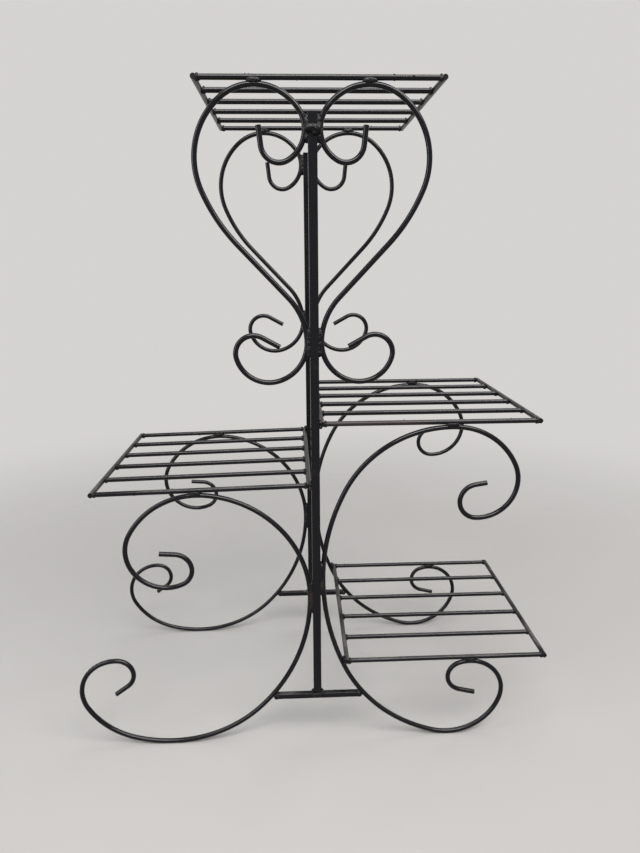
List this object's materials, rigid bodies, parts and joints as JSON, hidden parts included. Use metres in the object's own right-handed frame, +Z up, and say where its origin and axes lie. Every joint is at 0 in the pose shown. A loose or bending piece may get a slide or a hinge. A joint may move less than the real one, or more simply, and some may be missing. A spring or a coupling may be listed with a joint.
{
  "type": "plant stand",
  "caption": "Free-standing welded wrought-iron plant stand: scrolled front and rear frames on square posts carry slatted shelves at stepped heights.",
  "frame": {"origin": "on the floor, under the middle of the stand's bounding box", "axes": "+Z up, front faces -Y, +X to the right seen from the front; the two posts stand on the y axis side by side in depth, close to x 0"},
  "size_m": [0.6043, 0.284, 0.8003],
  "materials": {
    "black_enamel": "gloss black enamel brushed on mild steel, dusty in places",
    "weld_enamel": "gloss black enamel over rough weld beads"
  },
  "bodies": {
    "root": {"front_post": "black_enamel", "front_foot_bar": "black_enamel", "front_left_scroll": "black_enamel", "front_right_scroll": "black_enamel", "front_left_heart": "black_enamel", "front_right_heart": "black_enamel", "rear_post": "black_enamel", "rear_foot_bar": "black_enamel", "rear_left_scroll": "black_enamel", "rear_right_scroll": "black_enamel", "rear_left_heart": "black_enamel", "rear_right_heart": "black_enamel", "top_shelf_left_rail": "black_enamel", "top_shelf_right_rail": "black_enamel", "top_shelf_slat_1": "black_enamel", "top_shelf_slat_2": "black_enamel", "top_shelf_slat_3": "black_enamel", "top_shelf_slat_4": "black_enamel", "top_shelf_slat_5": "black_enamel", "top_shelf_slat_6": "black_enamel", "left_shelf_outer_rail": "black_enamel", "left_shelf_inner_rail": "black_enamel", "left_shelf_slat_1": "black_enamel", "left_shelf_slat_2": "black_enamel", "left_shelf_slat_3": "black_enamel", "left_shelf_slat_4": "black_enamel", "left_shelf_slat_5": "black_enamel", "left_shelf_slat_6": "black_enamel", "middle_shelf_inner_rail": "black_enamel", "middle_shelf_outer_rail": "black_enamel", "middle_shelf_slat_1": "black_enamel", "middle_shelf_slat_2": "black_enamel", "middle_shelf_slat_3": "black_enamel", "middle_shelf_slat_4": "black_enamel", "middle_shelf_slat_5": "black_enamel", "middle_shelf_slat_6": "black_enamel", "bottom_shelf_inner_rail": "black_enamel", "bottom_shelf_outer_rail": "black_enamel", "bottom_shelf_slat_1": "black_enamel", "bottom_shelf_slat_2": "black_enamel", "bottom_shelf_slat_3": "black_enamel", "bottom_shelf_slat_4": "black_enamel", "bottom_shelf_slat_5": "black_enamel", "bottom_shelf_slat_6": "black_enamel", "top_shelf_welds": "weld_enamel", "left_shelf_welds": "weld_enamel", "middle_shelf_welds": "weld_enamel", "bottom_shelf_welds": "weld_enamel", "scroll_welds": "weld_enamel", "heart_welds": "weld_enamel", "foot_welds": "weld_enamel"}
  },
  "joints": []
}
